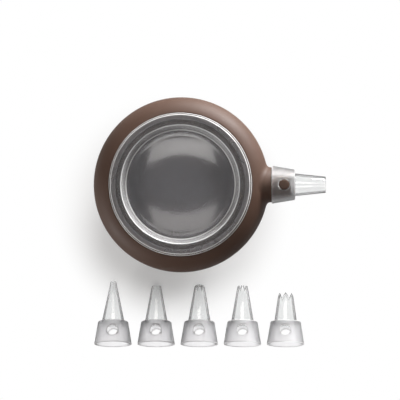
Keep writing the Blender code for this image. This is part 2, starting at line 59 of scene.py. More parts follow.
# %% Sizes read from the frame
bulb_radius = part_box("silicone_bulb")[1].y
lip_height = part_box("silicone_bulb")[1].z
ring_bottom, ring_top = (corner.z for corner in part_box("mouth_ring"))
rim_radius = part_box("mouth_ring")[1].x
skirt_bottom, lid_top = (corner.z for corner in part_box("lid"))
flange_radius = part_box("lid")[1].x
seal_bottom, seal_top = (corner.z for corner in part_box("lid_seal"))
seal_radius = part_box("lid_seal")[1].x
collar_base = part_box("fitted_collar")[0].x
collar_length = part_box("fitted_collar")[1].x - collar_base
collar_base_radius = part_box("fitted_collar")[1].y
neck_height = (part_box("fitted_collar")[0].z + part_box("fitted_collar")[1].z) / 2
button_x = (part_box("lock_button_top")[0].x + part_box("lock_button_top")[1].x) / 2
button_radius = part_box("lock_button_top")[1].y
button_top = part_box("lock_button_top")[1].z - neck_height
button_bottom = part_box("lock_button_top")[0].z - neck_height
print(f"bulb {2 * bulb_radius * 1000:.1f} mm across, lid top {lid_top * 1000:.1f} mm up")

# %% Sizes of walls, gaps and roundings
FIT_GAP = 0.0003
CUT_OVERRUN = 0.003
WELD = 0.000001
STAND_RADIUS = 0.024
SHOULDER_REACH = 0.016
SHOULDER_ABOVE_NECK = 0.0036
DOME_WALL = 0.0026
SHOULDER_WALL = 0.0028
LIP_LAND = 0.0007
LIP_ROUNDING = 0.0006
LIP_SKIRT_DEPTH = 0.0056
LIP_SKIRT_WALL = 0.0026
RIM_OVERHANG = 0.0015
RIM_THICKNESS = 0.0014
RIM_ROUNDING = 0.0004
RING_WALL = 0.0015
BEAD_OVERHANG = 0.0013
BEAD_HEIGHT = 0.0014
COLLAR_WALL = 0.0012
COLLAR_END_WALL = 0.0012
COLLAR_END_RADIUS = 0.0107
TIP_FLANGE_THICKNESS = 0.0011
EDGE_ROUNDING = 0.00025
print(f"walls: {DOME_WALL * 1000:.1f} mm in the bulb, {COLLAR_WALL * 1000:.1f} mm in a collar")

# %% [markdown]
# Every piece here is round, so one helper does most of the work. A circle is added at the start of the
# outline, and its ring of vertices is extruded and scaled from one point to the next. Spin would do as
# well, but pulling rings leaves no seam to weld. Corners are rounded in the outline itself, because an arc
# there costs less than a bevel on a finished mesh.

# %% A helper that rounds the corners of an outline
QUARTER_TURN, FULL_TURN = math.radians(90), math.radians(360)


def rounded(corners, steps=6):
    """Points through corners (radius, height), with an arc at each that also gives a rounding radius."""
    points = []
    for index, corner in enumerate(corners):
        here = Vector(corner[:2])
        if len(corner) == 2:
            points.append(tuple(here))
            continue
        before = (Vector(corners[index - 1][:2]) - here).normalized()
        after = (Vector(corners[(index + 1) % len(corners)][:2]) - here).normalized()
        half = before.angle(after) / 2
        reach = corner[2] / math.tan(half)
        centre = here + (before + after).normalized() * corner[2] / math.sin(half)
        start, end = here + before * reach - centre, here + after * reach - centre
        sweep = start.angle_signed(end)
        for step in range(steps + 1):
            points.append(tuple(centre + Matrix.Rotation(-sweep * step / steps, 2) @ start))
    return points


def ellipse(centre, half_axes, start, end, steps):
    """Points (radius, height) along an ellipse, with both angles taken from the radius's direction."""
    angles = [start + (end - start) * step / steps for step in range(steps + 1)]
    return [(centre[0] + half_axes[0] * math.cos(a), centre[1] + half_axes[1] * math.sin(a)) for a in angles]


# %% Helpers that turn, join and place pieces
SMOOTH_BELOW = math.radians(32)


def only(piece):
    """Makes a piece the only selected and the active one, so that operators act on it alone."""
    bpy.ops.object.select_all(action="DESELECT")
    piece.select_set(True)
    bpy.context.view_layer.objects.active = piece


def edit_mode(kind="VERT", action="SELECT"):
    """Opens the active piece for edits on vertices, edges or faces, with all or none of them selected."""
    bpy.ops.object.mode_set(mode="EDIT")
    bpy.ops.mesh.select_mode(type=kind)
    bpy.ops.mesh.select_all(action=action)


def object_mode():
    """Closes the active piece's edit mode."""
    bpy.ops.object.mode_set(mode="OBJECT")


def tidy(piece):
    """Merges doubled points, turns faces outwards and shades the piece smooth, with its real edges sharp."""
    only(piece)
    edit_mode()
    bpy.ops.mesh.remove_doubles(threshold=WELD)
    bpy.ops.mesh.normals_make_consistent(inside=False)
    object_mode()
    bpy.ops.object.shade_smooth_by_angle(angle=SMOOTH_BELOW)
    return piece


def added(name, add, **settings):
    """A new object of that name, from an operator that adds a simple mesh and leaves only that selected."""
    add(**settings)
    made = bpy.context.object
    made.name = name
    made.data.name = name
    return made


def keep_place():
    """Writes the active piece's place, turn and scale into its mesh."""
    bpy.ops.object.transform_apply(location=True, rotation=True, scale=True)


def circle(name, segments, radius, height):
    """A ring of vertices round Z as a new object in edit mode, with all of it selected."""
    ring = {"vertices": segments, "radius": radius, "location": (0, 0, height)}
    made = added(name, bpy.ops.mesh.primitive_circle_add, **ring)
    keep_place()
    edit_mode()
    return made


def close_ends():
    """Closes both open ends of the piece in edit mode, each with a fan of faces round a middle point."""
    bpy.ops.mesh.select_all(action="DESELECT")
    bpy.ops.mesh.select_non_manifold()
    bpy.ops.mesh.fill_holes(sides=0)
    bpy.ops.mesh.select_all(action="DESELECT")
    bpy.ops.mesh.select_face_by_sides(number=4, type="GREATER")
    bpy.ops.mesh.poke()


def turned(name, outline, segments, hoop=False):
    """A piece turned about Z. A hoop's outline runs round its section, any other runs from end to end."""
    radius, height = outline[0]
    made = circle(name, segments, radius, height)
    for next_radius, next_height in outline[1:]:
        bpy.ops.mesh.extrude_region_move(TRANSFORM_OT_translate={"value": (0, 0, next_height - height)})
        widen = next_radius / radius
        bpy.ops.transform.resize(value=(widen, widen, 1), center_override=(0, 0, 0))
        radius, height = next_radius, next_height
    if hoop:
        bpy.ops.mesh.select_all(action="DESELECT")
        bpy.ops.mesh.select_non_manifold()
        bpy.ops.mesh.bridge_edge_loops()
    else:
        close_ends()
    object_mode()
    return tidy(made)


def combine(piece, operation, tool):
    """Joins a second solid to a piece, or cuts it away, by a Boolean that is applied at once."""
    only(piece)
    change = piece.modifiers.new("change", "BOOLEAN")
    change.operation = operation
    change.object = tool
    bpy.ops.object.modifier_apply(modifier=change.name)
    bpy.data.objects.remove(tool, do_unlink=True)
    return tidy(piece)


def lay(piece, place):
    """Puts a piece that was modelled round Z in its place, and keeps the place in its mesh."""
    only(piece)
    piece.matrix_world = place
    keep_place()
    return piece


def stands_for(piece, node, body):
    """The fine piece rides on the node's body, and the node is hidden, so the piece shows in its place."""
    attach(piece, body)
    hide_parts(node)
    low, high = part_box(node)
    span = (high - low).length * 1000
    print(f"{piece.name}: {len(piece.data.polygons)} faces, stands for {node}, {span:.0f} mm")
    return piece


# %% [markdown]
# The bulb is one silicone moulding: a round bag with a flat to stand on, a shoulder that rises to the lip,
# a thin lip that wraps the mouth ring, and the neck. Subdivision could round a rough cage, but the ellipses
# of the dome and shoulder are known, so the outline is turned from them directly. The end rings are tiny
# circles near the axis, because a ring can't be scaled up again from nothing.

# %% Outline values of the bulb
ROUND_SEGMENTS = 144
DOME_STEPS, SHOULDER_STEPS = 30, 22
INNER_DOME_STEPS, INNER_SHOULDER_STEPS = 24, 12
AXIS_RING = 0.0004
NECK_STEP = 0.00055
NECK_FILLET = 0.0024
NECK_SIDE_FILLET = 0.0038
NECK_SINK = 0.0012

lip_radius = rim_radius + LIP_LAND
shoulder_centre = bulb_radius - SHOULDER_REACH
collar_taper = (collar_base_radius - COLLAR_END_RADIUS) / collar_length


def collar_inside(station):
    """Inner radius of the collar at a distance from its base."""
    return collar_base_radius - collar_taper * station - COLLAR_WALL


neck_radius = collar_inside(0) - FIT_GAP + NECK_STEP
shoulder_rise = neck_radius + SHOULDER_ABOVE_NECK
lip_angle = math.acos((lip_radius - shoulder_centre) / SHOULDER_REACH)
dome_drop = neck_height / math.sqrt(1 - (STAND_RADIUS / bulb_radius) ** 2)
barrel_radius = rim_radius - RIM_OVERHANG
lip_bore = barrel_radius + FIT_GAP
print(f"neck {2 * neck_radius * 1000:.1f} mm across, lip {2 * lip_radius * 1000:.1f} mm across")

# %% Turn the bulb's outer form
outline = [(AXIS_RING, 0.0), (STAND_RADIUS, 0.0)]
foot_angle = -math.asin(neck_height / dome_drop)
shoulder_middle = (shoulder_centre, neck_height)
outline += ellipse((0.0, neck_height), (bulb_radius, dome_drop), foot_angle, 0.0, DOME_STEPS)[1:]
shoulder = ellipse(shoulder_middle, (SHOULDER_REACH, shoulder_rise), 0.0, lip_angle, SHOULDER_STEPS)
outline += shoulder[1:-1]
outline += rounded([shoulder[-2], (*shoulder[-1], LIP_ROUNDING), (AXIS_RING, lip_height)])[1:]
bulb = turned("bulb_and_neck", outline, ROUND_SEGMENTS)
print(f"{bulb.name}: turned through {len(outline)} rings")

# %% [markdown]
# The neck leaves the shoulder in a soft fillet. A bevel on the line where two finished solids meet often
# tears, and a remesh would blur the lip. So the neck is pulled along X from a ring that lies on the bulb's
# own face, and each ring of the fillet follows a curve from that face to the neck's side. Operators extrude
# and scale the rings, and a short helper lays each vertex at its distance along X.

# %% Pull the neck out of the bulb
NECK_SEGMENTS = 96
FILLET_STEPS = 10


def bulb_face(side, height):
    """Distance along X of the bulb's outer face, at a step to the side and a height from the neck's axis."""
    if height < 0:
        radius = bulb_radius * math.sqrt(1 - (height / dome_drop) ** 2)
    else:
        radius = shoulder_centre + SHOULDER_REACH * math.sqrt(1 - (height / shoulder_rise) ** 2)
    return math.sqrt(radius**2 - side**2)


def set_along_x(place):
    """Moves each selected vertex along X, to where place says for its turn round the neck's axis."""
    mesh = bmesh.from_edit_mesh(bpy.context.object.data)
    ring = [vert for vert in mesh.verts if vert.select]
    wide = max(vert.co.y for vert in ring)
    high = max(vert.co.z for vert in ring) - neck_height
    for vert in ring:
        turn = math.atan2((vert.co.z - neck_height) / high, vert.co.y / wide)
        vert.co.x = place(turn)
    bmesh.update_edit_mesh(bpy.context.object.data)


def pull_ring(size, next_size, place):
    """Extrudes the selected ring, scales it from one (side, height) to the next and lays it along X."""
    bpy.ops.mesh.extrude_region_move()
    widen, heighten = next_size[0] / size[0], next_size[1] / size[1]
    bpy.ops.transform.resize(value=(1, widen, heighten), center_override=(0, 0, neck_height))
    set_along_x(place)
    return next_size


def fillet_size(share):
    """Half width and half height of the neck's ring at a share of its fillet, wider at the sides."""
    return neck_radius + share * NECK_SIDE_FILLET, neck_radius + share * NECK_FILLET


def fillet_place(turn, first, second, third):
    """Where a fillet ring lies: a mix of its edge on the bulb, the corner and the end on the neck's side."""
    wide, high = fillet_size(1)
    edge = bulb_face(math.cos(turn) * wide, math.sin(turn) * high)
    corner = bulb_face(math.cos(turn) * neck_radius, math.sin(turn) * neck_radius)
    return first * edge + second * corner + third * (corner + NECK_FILLET)


ring_size = fillet_size(1)
wide, high = ring_size
neck = circle("neck", NECK_SEGMENTS, high, 0)
object_mode()
lay(neck, Matrix.Translation((0, 0, neck_height)) @ Matrix.Rotation(QUARTER_TURN, 4, "Y"))
edit_mode()
bpy.ops.transform.resize(value=(1, wide / high, 1), center_override=(0, 0, neck_height))
set_along_x(lambda turn: fillet_place(turn, 1, 0, 0) - NECK_SINK)
for step in range(FILLET_STEPS + 1):
    share = step / FILLET_STEPS
    mix = ((1 - share) ** 2, 2 * share * (1 - share), share**2)
    ring_size = pull_ring(ring_size, fillet_size(mix[0]), lambda turn: fillet_place(turn, *mix))
spigot_length = collar_length - COLLAR_END_WALL - FIT_GAP - TIP_FLANGE_THICKNESS - FIT_GAP
shoulder_x = collar_base - FIT_GAP
spigot = rounded([
    (neck_radius, shoulder_x - NECK_STEP * 2),
    (neck_radius, shoulder_x, EDGE_ROUNDING),
    (collar_inside(-FIT_GAP) - FIT_GAP, shoulder_x),
    (collar_inside(spigot_length) - FIT_GAP, collar_base + spigot_length, EDGE_ROUNDING),
    (AXIS_RING, collar_base + spigot_length),
], steps=3)
for next_radius, distance in spigot[1:]:
    ring_size = pull_ring(ring_size, (next_radius, next_radius), lambda turn: distance)
close_ends()
object_mode()
bulb = combine(bulb, "UNION", tidy(neck))
print(f"{bulb.name}: {len(bulb.data.polygons)} faces with the neck")

# %% [markdown]
# A moulded bag is hollow, and it shows through the clear lid. The hollow could be a Solidify, but the lip
# is a double wall: a skirt hangs inside the shoulder and grips the mouth ring. So the hollow is turned as a
# solid of its own, with that skirt left out, and cut away, and so are the neck's bore and the two pockets
# of the lock buttons.

# %% Cut the hollow, the bore and the button pockets
shoulder_axes = (SHOULDER_REACH - SHOULDER_WALL, shoulder_rise - SHOULDER_WALL)
skirt_outside = lip_bore + LIP_SKIRT_WALL
inner_angle = math.acos((skirt_outside - shoulder_centre) / shoulder_axes[0])
dome_axes = (bulb_radius - SHOULDER_WALL, dome_drop - DOME_WALL)
floor_angle = -math.asin((neck_height - DOME_WALL) / dome_axes[1])
skirt_foot = lip_height - LIP_SKIRT_DEPTH
hollow = [(AXIS_RING, DOME_WALL)]
hollow += ellipse((0.0, neck_height), dome_axes, floor_angle, 0.0, INNER_DOME_STEPS)
hollow += ellipse(shoulder_middle, shoulder_axes, 0.0, inner_angle, INNER_SHOULDER_STEPS)[1:]
hollow += [(skirt_outside, skirt_foot), (lip_bore, skirt_foot), (lip_bore, lip_height + CUT_OVERRUN)]
hollow += [(AXIS_RING, lip_height + CUT_OVERRUN)]
bulb = combine(bulb, "DIFFERENCE", turned("hollow", hollow, ROUND_SEGMENTS))

POCKET_WEB = 0.0011
BUTTON_SPARE_TRAVEL = 0.0003
BORE_WIDENING = 0.0022
BORE_TAPER = 0.003
button_travel = COLLAR_WALL + FIT_GAP + BUTTON_SPARE_TRAVEL
pocket_floor = button_bottom - button_travel - FIT_GAP
bore_radius = pocket_floor - POCKET_WEB
taper_end = button_x - collar_base - button_radius - FIT_GAP
bore = [
    (AXIS_RING, -SHOULDER_REACH),
    (bore_radius + BORE_WIDENING, -SHOULDER_REACH),
    (bore_radius + BORE_WIDENING, taper_end - BORE_TAPER),
    (bore_radius, taper_end),
    (bore_radius, spigot_length + CUT_OVERRUN),
    (AXIS_RING, spigot_length + CUT_OVERRUN),
]
along_neck = Matrix(((0, 0, 1, collar_base), (0, -1, 0, 0), (1, 0, 0, neck_height), (0, 0, 0, 1)))
bulb = combine(bulb, "DIFFERENCE", lay(turned("bore", bore, NECK_SEGMENTS), along_neck))

BUTTON_SEGMENTS = 64
pocket_radius = button_radius + FIT_GAP
pocket = [
    (AXIS_RING, pocket_floor),
    (pocket_radius, pocket_floor),
    (pocket_radius, button_top + CUT_OVERRUN),
    (AXIS_RING, button_top + CUT_OVERRUN),
]
button_places = {
    "top": Matrix.Translation((button_x, 0, neck_height)),
    "bottom": Matrix.Translation((button_x, 0, neck_height)) @ Matrix.Rotation(math.radians(180), 4, "X"),
}
for side, place in button_places.items():
    bulb = combine(bulb, "DIFFERENCE", lay(turned("pocket", pocket, BUTTON_SEGMENTS), place))
stands_for(bulb, "silicone_bulb", "bulb")

# %% [markdown]
# A lock button is a round nub of the same silicone. Pressed in on both sides, the nubs let the nozzle go.
# Each is a short turned plug with a softly crowned top, modelled once and laid above and below the neck.

# %% Turn the lock buttons
BUTTON_CROWN = 0.00015
BUTTON_ROUNDING = 0.0005
button_outline = rounded([
    (AXIS_RING, button_bottom),
    (button_radius, button_bottom, EDGE_ROUNDING),
    (button_radius, button_top - BUTTON_CROWN, BUTTON_ROUNDING),
    (button_radius / 2, button_top),
    (AXIS_RING, button_top),
])
buttons = {}
for side, place in button_places.items():
    button = lay(turned(f"button_{side}", button_outline, BUTTON_SEGMENTS), place)
    buttons[side] = stands_for(button, f"lock_button_{side}", f"button_{side}")

# %% [markdown]
# The mouth ring and the lid lock by a quick thread: three sloping lugs on each, like short stretches of a
# coarse screw. A Screw modifier would make full turns, so one lug is pulled instead. A small square face
# is extruded step by step, and each step climbs a little and turns a little about Z. Its ends are
# thinner, so that the lugs find each other when the lid is put on.

# %% Helpers for the sloping lugs
LUG_COUNT = 3
LUG_LEAD = 0.024
LUG_HEIGHT = 0.0015
LUG_THICKNESS = 0.0018
LUG_DROP = 0.0008
LUG_PLAY = 0.0004
LUG_ARC = math.radians(55)
LUG_START = math.radians(3)
LUG_END_SHARE = 0.45
LUG_ROOT = 0.0005
LUG_STEPS = 28
lug_rise = LUG_LEAD * LUG_ARC / FULL_TURN


def turn_selection(angle):
    """Turns what is selected about Z. With no window, the operator turns the other way, hence the minus."""
    bpy.ops.transform.rotate(value=-angle, orient_axis="Z", center_override=(0, 0, 0))


def lug(inner, outer, low, start):
    """One lug between two radii, from the height of its low end."""
    middle = low + LUG_THICKNESS / 2
    place = {"location": ((inner + outer) / 2, 0, middle), "rotation": (QUARTER_TURN, 0, 0)}
    made = added("lug", bpy.ops.mesh.primitive_plane_add, size=1, **place)
    made.scale = (outer - inner, LUG_THICKNESS * LUG_END_SHARE, 1)
    keep_place()
    edit_mode()
    turn_selection(start)
    for step in range(LUG_STEPS):
        bpy.ops.mesh.extrude_region_move(TRANSFORM_OT_translate={"value": (0, 0, lug_rise / LUG_STEPS)})
        turn_selection(LUG_ARC / LUG_STEPS)
        thicken = {0: 1 / LUG_END_SHARE, LUG_STEPS - 1: LUG_END_SHARE}.get(step, 1)
        height = middle + lug_rise * (step + 1) / LUG_STEPS
        bpy.ops.transform.resize(value=(1, 1, thicken), center_override=(0, 0, height))
    object_mode()
    return tidy(made)


def with_lugs(piece, inner, outer, low):
    """A turned piece with its three lugs joined on."""
    for index in range(LUG_COUNT):
        start = LUG_START + FULL_TURN * index / LUG_COUNT
        piece = combine(piece, "UNION", lug(inner, outer, low, start))
    return piece


print(f"a lug climbs {lug_rise * 1000:.1f} mm")

# %% Turn the mouth ring
ring_bore = barrel_radius - RING_WALL
bead_radius = barrel_radius + BEAD_OVERHANG
ring_lug_low = ring_top - LUG_DROP - lug_rise - LUG_THICKNESS
ring_section = rounded([
    (ring_bore, ring_bottom, EDGE_ROUNDING),
    (bead_radius, ring_bottom, EDGE_ROUNDING),
    (bead_radius, ring_bottom + BEAD_HEIGHT, EDGE_ROUNDING),
    (barrel_radius, ring_bottom + BEAD_HEIGHT),
    (barrel_radius, ring_top - RIM_THICKNESS),
    (rim_radius, ring_top - RIM_THICKNESS),
    (rim_radius, ring_top, RIM_ROUNDING),
    (ring_bore, ring_top, EDGE_ROUNDING),
], steps=4)
mouth_ring = turned("ring_round_mouth", ring_section, ROUND_SEGMENTS, hoop=True)
mouth_ring = with_lugs(mouth_ring, ring_bore - LUG_HEIGHT, ring_bore + LUG_ROOT, ring_lug_low)
stands_for(mouth_ring, "mouth_ring", "bulb")

# %% [markdown]
# The lid is one clear moulding: a flat flange, a recess with a leaning wall, a softly crowned floor, and
# under the flange a skirt with the lugs. The crown is nearly flat in the middle and falls off towards its
# edge, which a power of the radius describes better than an arc. That form shows in how it mirrors the
# lamps.

# %% Turn the lid
FLANGE_THICKNESS = 0.0024
FLANGE_ROUNDING = 0.0006
SKIRT_WALL = 0.0016
LID_WALL = 0.0018
RECESS_BORDER = 0.0077
RECESS_DEPTH = 0.008
RECESS_RUN = 0.0030
RECESS_ROUNDING = 0.0008
DISH_BORDER = 0.0034
DISH_RISE = 0.0035
DISH_POWER = 3.2
DISH_STEPS = 26

lid_lug_radius = ring_bore - LUG_PLAY
skirt_radius = lid_lug_radius - LUG_HEIGHT
skirt_bore = skirt_radius - SKIRT_WALL
flange_bottom = lid_top - FLANGE_THICKNESS
recess_top = flange_radius - RECESS_BORDER
recess_bottom = recess_top - RECESS_RUN
recess_floor = lid_top - RECESS_DEPTH
dish_radius = recess_bottom - DISH_BORDER
lid_lug_low = ring_lug_low - FIT_GAP - LUG_THICKNESS


def dish(foot):
    """Points (radius, height) of the crowned floor, from its middle to its edge at the foot's height."""
    radii = [AXIS_RING + (dish_radius - AXIS_RING) * step / DISH_STEPS for step in range(DISH_STEPS + 1)]
    return [(radius, foot + DISH_RISE * (1 - (radius / dish_radius) ** DISH_POWER)) for radius in radii]


channel_top = recess_top + LID_WALL - RECESS_RUN * FLANGE_THICKNESS / RECESS_DEPTH
over_dish = dish(recess_floor)
under_dish = dish(recess_floor - LID_WALL)[::-1]
lid_section = rounded([
    over_dish[-1],
    (recess_bottom, recess_floor, RECESS_ROUNDING),
    (recess_top, lid_top, RECESS_ROUNDING),
    (flange_radius, lid_top, FLANGE_ROUNDING),
    (flange_radius, flange_bottom, EDGE_ROUNDING),
    (skirt_radius, flange_bottom),
    (skirt_radius, skirt_bottom, EDGE_ROUNDING),
    (skirt_bore, skirt_bottom, EDGE_ROUNDING),
    (skirt_bore, flange_bottom),
    (channel_top, flange_bottom),
    (recess_bottom + LID_WALL, recess_floor - LID_WALL, RECESS_ROUNDING),
    under_dish[0],
])
lid = turned("screw_lid", over_dish[:-1] + lid_section + under_dish[1:], ROUND_SEGMENTS)
lid = with_lugs(lid, skirt_radius - LUG_ROOT, lid_lug_radius, lid_lug_low)
stands_for(lid, "lid", "lid")

# %% [markdown]
# Between the flange and the ring lies a soft flat gasket. It is a plain hoop with rounded edges.

# %% Turn the gasket
seal_bore = skirt_radius + FIT_GAP
seal_section = rounded([
    (seal_bore, seal_bottom, EDGE_ROUNDING),
    (seal_radius, seal_bottom, EDGE_ROUNDING),
    (seal_radius, seal_top, EDGE_ROUNDING),
    (seal_bore, seal_top, EDGE_ROUNDING),
], steps=4)
gasket = turned("gasket", seal_section, ROUND_SEGMENTS, hoop=True)
stands_for(gasket, "lid_seal", "seal")

# %% [markdown]
# A nozzle is a frosted collar that holds a clear tip. All six collars are one moulding: a short taper with
# a shoulder at its end and a lock hole on each side. The hole is cut with a cylinder that runs right
# across, and its rims get a small bevel, which catches the light as a bright ring. A painted highlight on
# the rims adds to that ring later.

# %% Turn one collar and cut its lock holes
COLLAR_SEGMENTS = 96
COLLAR_ROUNDING = 0.0012
COLLAR_OPENING = 0.00825
HOLE_PLAY = 0.0004
HOLE_BEVEL = 0.0004
HOLE_MARGIN = 0.0003
BAND_STEPS = 8
RIM_BAND = 0.0006
button_station = button_x - collar_base
end_wall_station = collar_length - COLLAR_END_WALL
hole_radius = button_radius + HOLE_PLAY
band_reach = hole_radius + HOLE_BEVEL + HOLE_MARGIN
band = [button_station + band_reach * (2 * step / BAND_STEPS - 1) for step in range(BAND_STEPS + 1)]
collar_section = rounded([
    (collar_inside(0), 0.0, EDGE_ROUNDING),
    (collar_base_radius, 0.0, EDGE_ROUNDING),
    *[(collar_inside(station) + COLLAR_WALL, station) for station in [RIM_BAND, *band]],
    (COLLAR_END_RADIUS, collar_length, COLLAR_ROUNDING),
    (COLLAR_OPENING, collar_length, EDGE_ROUNDING),
    (COLLAR_OPENING, end_wall_station),
    (collar_inside(end_wall_station), end_wall_station),
    *[(collar_inside(station), station) for station in reversed(band)],
])
collar_model = turned("collar_model", collar_section, COLLAR_SEGMENTS, hoop=True)
drill = added(
    "drill",
    bpy.ops.mesh.primitive_cylinder_add,
    vertices=BUTTON_SEGMENTS,
    radius=hole_radius,
    depth=2 * (collar_base_radius + CUT_OVERRUN),
    location=(0, 0, button_station),
    rotation=(0, QUARTER_TURN, 0),
)
collar_model = combine(collar_model, "DIFFERENCE", drill)
print(f"{collar_model.name}: {len(collar_model.data.polygons)} faces with its lock holes")

# %% Bevel the rims of the lock holes
edit_mode("EDGE", "DESELECT")
edit = bmesh.from_edit_mesh(collar_model.data)


def on_hole_rim(vert):
    """Whether a vertex lies where the lock hole's wall meets the collar's outer face."""
    from_axis = math.hypot(vert.co.y, vert.co.z - button_station)
    outside = collar_base_radius - collar_taper * vert.co.z
    depth = outside - math.hypot(vert.co.x, vert.co.y)
    return abs(from_axis - hole_radius) < HOLE_BEVEL / 4 and depth < HOLE_BEVEL


rim_edges = [edge for edge in edit.edges if all(on_hole_rim(vert) for vert in edge.verts)]
for edge in rim_edges:
    edge.select_set(True)
bmesh.update_edit_mesh(collar_model.data)
bpy.ops.mesh.bevel(offset=HOLE_BEVEL, segments=3, affect="EDGES")
object_mode()
tidy(collar_model)
print(f"collar: {len(rim_edges)} rim edges bevelled, {len(collar_model.data.polygons)} faces")

# %% Mark the collar's rims, which get a painted highlight later
rim_highlight_mark = collar_model.data.attributes.new("rim", "BOOLEAN", "FACE")
for face in collar_model.data.polygons:
    from_axis = math.hypot(face.center.x, face.center.y)
    from_hole = math.hypot(face.center.y, face.center.z - button_station)
    at_base = face.center.z < RIM_BAND
    at_end = face.center.z > collar_length - COLLAR_ROUNDING / 2
    outside = from_axis > COLLAR_OPENING + EDGE_ROUNDING
    rim_highlight_mark.data[face.index].value = at_base or at_end and outside or from_hole < hole_radius + HOLE_BEVEL
print("rim faces:", sum(mark.value for mark in rim_highlight_mark.data))

# %% [markdown]
# The tips differ in their ends. Each is a thin clear cone on a short shank. Two are plain, one is the wide
# one that is fitted, two are stars, and one is a crown. Stars and crown are cut by V-shaped bars that lie
# across the end, each of which makes two opposite notches at once.

# %% Helpers for the tips
TIP_WALL = 0.001
TIP_SHANK = 0.0006
TIP_LIP_ROUNDING = 0.0002
NOTCH_MARGIN = 0.0004
NOSE_STEPS = 12
STAR_POINTS = 6
DOWNWARDS = -0.5
tip_shank = COLLAR_OPENING - FIT_GAP
tip_flange = collar_inside(end_wall_station) - FIT_GAP
tip_flange_end = end_wall_station - FIT_GAP
tip_flange_start = tip_flange_end - TIP_FLANGE_THICKNESS
cone_start = collar_length + TIP_SHANK


def tip_section(length, end_radius, nose, opening, notch_depth):
    """Outline of a tip: its flange inside the collar, its cone, and a blunt end or a rounded nose."""
    outside = [
        (tip_flange, tip_flange_start, EDGE_ROUNDING),
        (tip_flange, tip_flange_end, EDGE_ROUNDING),
        (tip_shank, tip_flange_end),
        (tip_shank, cone_start),
    ]
    inside = [(tip_shank - TIP_WALL, cone_start), (tip_shank - TIP_WALL, tip_flange_start)]
    if notch_depth:
        # A ring just below the notches, so that cutting them leaves the long faces of the cone whole
        start = length - notch_depth - NOTCH_MARGIN
        share = (start - cone_start) / (length - nose - cone_start)
        radius = tip_shank + (end_radius - tip_shank) * share
        outside.append((radius, start))
        inside.insert(0, (radius - TIP_WALL, start))
    if nose:
        middle = (opening, length - nose)
        outer_axes = (end_radius - opening, nose)
        inner_axes = (outer_axes[0] - TIP_WALL, nose - TIP_WALL)
        outside += ellipse(middle, outer_axes, 0.0, QUARTER_TURN, NOSE_STEPS)
        inside = ellipse(middle, inner_axes, QUARTER_TURN, 0.0, NOSE_STEPS) + inside
    else:
        outside.append((end_radius, length, TIP_LIP_ROUNDING))
        inside.insert(0, (end_radius - TIP_WALL, length, TIP_LIP_ROUNDING))
    return rounded(outside + inside, steps=3)


def notch_bar(turn, length, radius, depth, width):
    """A V-shaped bar across the end of a tip. It is a cube whose lower edges are merged into one line."""
    height = depth + CUT_OVERRUN
    middle = (0, 0, length - depth + height / 2)
    bar = added("notch_bar", bpy.ops.mesh.primitive_cube_add, size=1, location=middle)
    bar.scale = (2 * (radius + CUT_OVERRUN), width * height / depth, height)
    keep_place()
    edit_mode()
    edit = bmesh.from_edit_mesh(bar.data)
    for face in edit.faces:
        face.select_set(face.normal.z < DOWNWARDS)
    bmesh.update_edit_mesh(bar.data)
    bpy.ops.transform.resize(value=(1, 0, 1), center_override=(0, 0, 0))
    object_mode()
    return lay(tidy(bar), Matrix.Rotation(turn, 4, "Z"))


def tip(name, length, end_radius, depth=0.0, width=0.0, nose=0.0, opening=0.0):
    """A turned tip, with notches of that depth and width across its end, or with none."""
    section = tip_section(length, end_radius, nose, opening, depth)
    made = turned(name, section, COLLAR_SEGMENTS, hoop=True)
    for index in range(STAR_POINTS // 2 if depth else 0):
        turn = FULL_TURN * ((index + 1 / 2) / STAR_POINTS + 1 / (4 * COLLAR_SEGMENTS))
        made = combine(made, "DIFFERENCE", notch_bar(turn, length, end_radius, depth, width))
    return made


# %% Turn the six tips
FITTED_END_RADIUS = 0.0057
CROWN_END_RADIUS = 0.0051
CROWN_NOTCH_OVERLAP = 0.0001
CROWN_NOTCH = CROWN_END_RADIUS * FULL_TURN / STAR_POINTS + CROWN_NOTCH_OVERLAP
CLOSED_STAR = {"length": 0.0431, "end_radius": 0.0039, "nose": 0.003, "opening": 0.0009}
SPARE_TIPS = {
    "fine": {"length": 0.0453, "end_radius": 0.0019},
    "round": {"length": 0.042, "end_radius": 0.0032},
    "closed_star": {**CLOSED_STAR, "depth": 0.0046, "width": 0.0013},
    "open_star": {"length": 0.042, "end_radius": 0.0036, "depth": 0.0032, "width": 0.002},
    "crown": {"length": 0.037, "end_radius": CROWN_END_RADIUS, "depth": 0.0046, "width": CROWN_NOTCH},
}

fitted_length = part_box("fitted_tip")[1].x - collar_base
fitted_tip = tip("tip_on_neck", fitted_length, FITTED_END_RADIUS)
spare_tips = {kind: tip(f"tip_{kind}", **sizes) for kind, sizes in SPARE_TIPS.items()}
print("tips:", "fitted,", ", ".join(spare_tips))

# %% [markdown]
# Now the nozzles go to their places. The fitted one lies along the neck. A spare lies on its collar's side
# with a lock hole up, so its axis dips towards the tip by the angle of the collar's taper. Each collar is a
# copy with a mesh of its own, because a place is kept in the mesh.

# %% Lay the collars and tips in place
lying_angle = math.atan(collar_taper)
tip_pieces = [stands_for(lay(fitted_tip, along_neck), "fitted_tip", "nozzle")]
collar_pieces = []


def collar_copy(name, place):
    """A copy of the collar with its own mesh, laid in its place."""
    only(collar_model)
    bpy.ops.object.duplicate(linked=False)
    copy = bpy.context.object
    copy.name = name
    return lay(copy, place)


